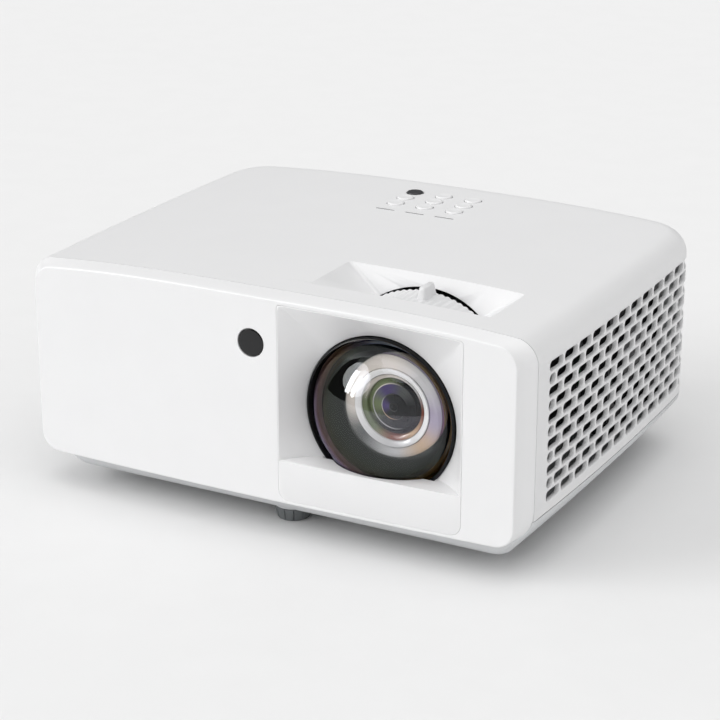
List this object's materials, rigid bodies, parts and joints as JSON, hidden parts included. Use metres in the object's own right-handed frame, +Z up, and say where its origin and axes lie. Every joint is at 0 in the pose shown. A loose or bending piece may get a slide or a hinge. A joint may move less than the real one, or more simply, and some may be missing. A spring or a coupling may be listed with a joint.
{
  "type": "home projector",
  "caption": "Short-throw projector: white casing with slotted sides, dome lens in a funnel panel, focus ring in a roof well, keypad, rear sockets and screw feet.",
  "frame": {"origin": "centre of the bounding box on the plane that the feet stand on", "axes": "+X to the right seen from the front, front and lens face -Y, +Z up"},
  "size_m": [0.274, 0.2203, 0.122],
  "materials": {
    "white_shell": "satin white moulded plastic",
    "white_grille": "satin white moulded plastic",
    "light_grey": "fine-textured pale plastic",
    "grey_rubber": "matt grey rubber",
    "dark_key": "dark grey translucent key",
    "black_plastic": "satin black",
    "black_window": "polished infrared window",
    "clear_glass": "coated optical glass",
    "light_guide": "smoked light guide",
    "green_board": "solder-masked circuit board",
    "aluminium": "machined or extruded",
    "steel": "bright plated",
    "phosphor": "phosphor-coated disc"
  },
  "bodies": {
    "projector": {"top_cover": "white_shell", "front_bezel": "white_shell", "lens_surround": "white_shell", "right_side_grille": "white_grille", "left_side_grille": "white_grille", "base_cover": "light_grey", "rear_panel": "light_grey", "lens_retainer": "black_plastic", "lens_barrel": "black_plastic", "right_fan_frame": "black_plastic", "left_fan_frame": "black_plastic", "light_engine": "black_plastic", "relay_tube": "black_plastic", "speaker": "black_plastic", "audio_out": "black_plastic", "ac_inlet": "black_plastic", "front_lens": "clear_glass", "ir_window": "black_window", "power_light": "light_guide", "lamp_light": "light_guide", "temperature_light": "light_guide", "keypad_board": "green_board", "dmd_board": "green_board", "main_board": "green_board", "power_board": "green_board", "dmd_heat_sink": "aluminium", "laser_module": "aluminium", "laser_heat_sink": "aluminium", "phosphor_motor": "steel", "emc_shield": "steel", "hdmi_1": "steel", "hdmi_2": "steel", "usb_port": "steel", "network_port": "steel", "serial_port": "steel", "base_screw_1": "steel", "base_screw_2": "steel", "base_screw_3": "steel", "base_screw_4": "steel"},
    "focus_ring": {"focus_ring": "light_grey"},
    "inner_lens_group": {"inner_cell": "black_plastic", "inner_lens": "clear_glass"},
    "right_impeller": {"right_fan_impeller": "black_plastic"},
    "left_impeller": {"left_fan_impeller": "black_plastic"},
    "phosphor_wheel": {"phosphor_wheel": "phosphor"},
    "power_button": {"power_button": "dark_key"},
    "menu_button": {"menu_button": "white_shell"},
    "source_button": {"source_button": "white_shell"},
    "left_button": {"left_button": "white_shell"},
    "enter_button": {"enter_button": "white_shell"},
    "right_button": {"right_button": "white_shell"},
    "info_button": {"info_button": "white_shell"},
    "down_button": {"down_button": "white_shell"},
    "resync_button": {"resync_button": "white_shell"},
    "front_foot_stem": {"front_foot_stem": "white_shell"},
    "front_foot_pad": {"front_foot_pad": "grey_rubber"},
    "rear_left_foot_stem": {"rear_left_foot_stem": "white_shell"},
    "rear_left_foot_pad": {"rear_left_foot_pad": "grey_rubber"},
    "rear_right_foot_stem": {"rear_right_foot_stem": "white_shell"},
    "rear_right_foot_pad": {"rear_right_foot_pad": "grey_rubber"}
  },
  "joints": [
    {"name": "focus_turn", "type": "hinge", "parent": "projector", "child": "focus_ring", "pos_m": [0.0556, -0.0588, 0.0675], "axis": [0, 1, 0], "range_deg": [-20, 20]},
    {"name": "lens_travel", "type": "slide", "parent": "projector", "child": "inner_lens_group", "axis": [0, 1, 0], "range_m": [-0.0012, 0.0012]},
    {"name": "right_fan_spin", "type": "hinge", "parent": "projector", "child": "right_impeller", "pos_m": [0.12, 0.0463, 0.069], "axis": [1, 0, 0], "continuous": true},
    {"name": "left_fan_spin", "type": "hinge", "parent": "projector", "child": "left_impeller", "pos_m": [-0.12, -0.0327, 0.069], "axis": [-1, 0, 0], "continuous": true},
    {"name": "phosphor_spin", "type": "hinge", "parent": "projector", "child": "phosphor_wheel", "pos_m": [-0.043, 0.0073, 0.068], "axis": [0, -1, 0], "continuous": true},
    {"name": "power_button_press", "type": "slide", "parent": "projector", "child": "power_button", "axis": [0, 0, -1], "range_m": [0, 0.0008], "stiffness_N_per_m": 400},
    {"name": "menu_button_press", "type": "slide", "parent": "projector", "child": "menu_button", "axis": [0, 0, -1], "range_m": [0, 0.0008], "stiffness_N_per_m": 400},
    {"name": "source_button_press", "type": "slide", "parent": "projector", "child": "source_button", "axis": [0, 0, -1], "range_m": [0, 0.0008], "stiffness_N_per_m": 400},
    {"name": "left_button_press", "type": "slide", "parent": "projector", "child": "left_button", "axis": [0, 0, -1], "range_m": [0, 0.0008], "stiffness_N_per_m": 400},
    {"name": "enter_button_press", "type": "slide", "parent": "projector", "child": "enter_button", "axis": [0, 0, -1], "range_m": [0, 0.0008], "stiffness_N_per_m": 400},
    {"name": "right_button_press", "type": "slide", "parent": "projector", "child": "right_button", "axis": [0, 0, -1], "range_m": [0, 0.0008], "stiffness_N_per_m": 400},
    {"name": "info_button_press", "type": "slide", "parent": "projector", "child": "info_button", "axis": [0, 0, -1], "range_m": [0, 0.0008], "stiffness_N_per_m": 400},
    {"name": "down_button_press", "type": "slide", "parent": "projector", "child": "down_button", "axis": [0, 0, -1], "range_m": [0, 0.0008], "stiffness_N_per_m": 400},
    {"name": "resync_button_press", "type": "slide", "parent": "projector", "child": "resync_button", "axis": [0, 0, -1], "range_m": [0, 0.0008], "stiffness_N_per_m": 400},
    {"name": "front_foot_travel", "type": "slide", "parent": "projector", "child": "front_foot_stem", "axis": [0, 0, -1], "range_m": [0, 0.00625]},
    {"name": "front_foot_turn", "type": "hinge", "parent": "front_foot_stem", "child": "front_foot_pad", "pos_m": [0, -0.0757, 0.003], "axis": [0, 0, -1], "range_deg": [0, 1800]},
    {"name": "rear_left_foot_travel", "type": "slide", "parent": "projector", "child": "rear_left_foot_stem", "axis": [0, 0, -1], "range_m": [0, 0.00625]},
    {"name": "rear_left_foot_turn", "type": "hinge", "parent": "rear_left_foot_stem", "child": "rear_left_foot_pad", "pos_m": [-0.1, 0.0743, 0.003], "axis": [0, 0, -1], "range_deg": [0, 1800]},
    {"name": "rear_right_foot_travel", "type": "slide", "parent": "projector", "child": "rear_right_foot_stem", "axis": [0, 0, -1], "range_m": [0, 0.00625]},
    {"name": "rear_right_foot_turn", "type": "hinge", "parent": "rear_right_foot_stem", "child": "rear_right_foot_pad", "pos_m": [0.1, 0.0743, 0.003], "axis": [0, 0, -1], "range_deg": [0, 1800]}
  ],
  "couplings": [
    {"joint": "lens_travel", "follows": "focus_turn", "m_per_rad": 0.0034},
    {"joint": "front_foot_turn", "follows": "front_foot_travel", "rad_per_m": 5026.5},
    {"joint": "rear_left_foot_turn", "follows": "rear_left_foot_travel", "rad_per_m": 5026.5},
    {"joint": "rear_right_foot_turn", "follows": "rear_right_foot_travel", "rad_per_m": 5026.5}
  ]
}
